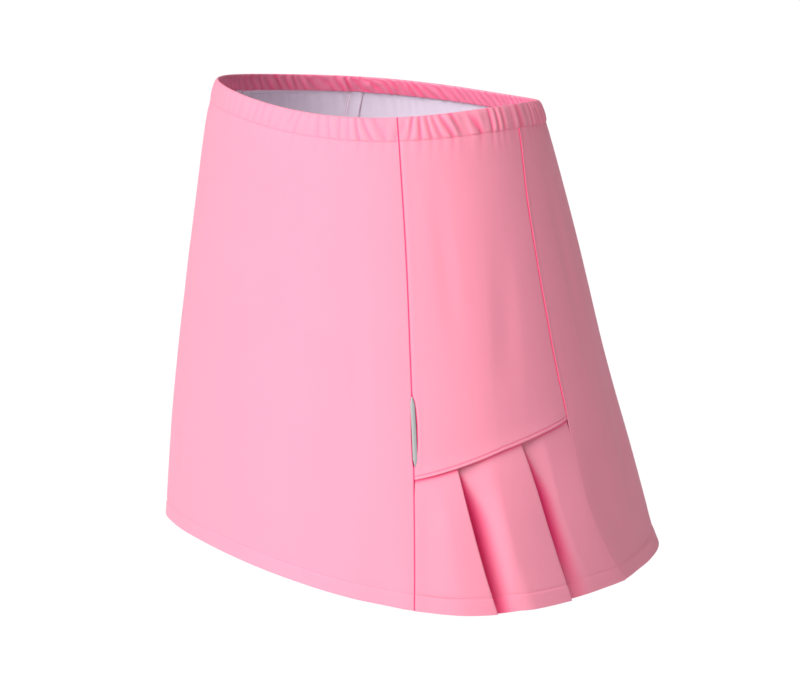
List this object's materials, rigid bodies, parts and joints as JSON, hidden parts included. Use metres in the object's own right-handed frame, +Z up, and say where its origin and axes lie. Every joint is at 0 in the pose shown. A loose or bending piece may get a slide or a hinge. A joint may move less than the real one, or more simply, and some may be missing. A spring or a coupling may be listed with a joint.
{
  "type": "badminton skirt",
  "caption": "Short flared sports skirt, filled out as worn, with an elastic waist, side panels over knife-pleated inserts and reflective strips.",
  "frame": {"origin": "centre of the waist opening, at the height of its rim, where the wearer's waist holds the skirt", "axes": "+Z up through the waist, -Y the front of the skirt, +X the wearer's left"},
  "size_m": [0.4114, 0.3458, 0.3476],
  "materials": {
    "pink_knit": "matt polyester knit with a soft sheen, pale lavender reverse",
    "waist_casing": "the same knit, gathered over elastic",
    "reflective_tape": "silver-grey reflective tape, satin"
  },
  "bodies": {
    "root": {"front_panel": "pink_knit", "back_panel": "pink_knit", "side_panel_left": "pink_knit", "side_panel_right": "pink_knit", "pleat_insert_left": "pink_knit", "pleat_insert_right": "pink_knit", "reflective_strip_left": "reflective_tape", "reflective_strip_right": "reflective_tape", "waist_casing_front": "waist_casing", "waist_casing_back": "waist_casing", "waist_casing_left": "waist_casing", "waist_casing_right": "waist_casing"}
  },
  "joints": []
}
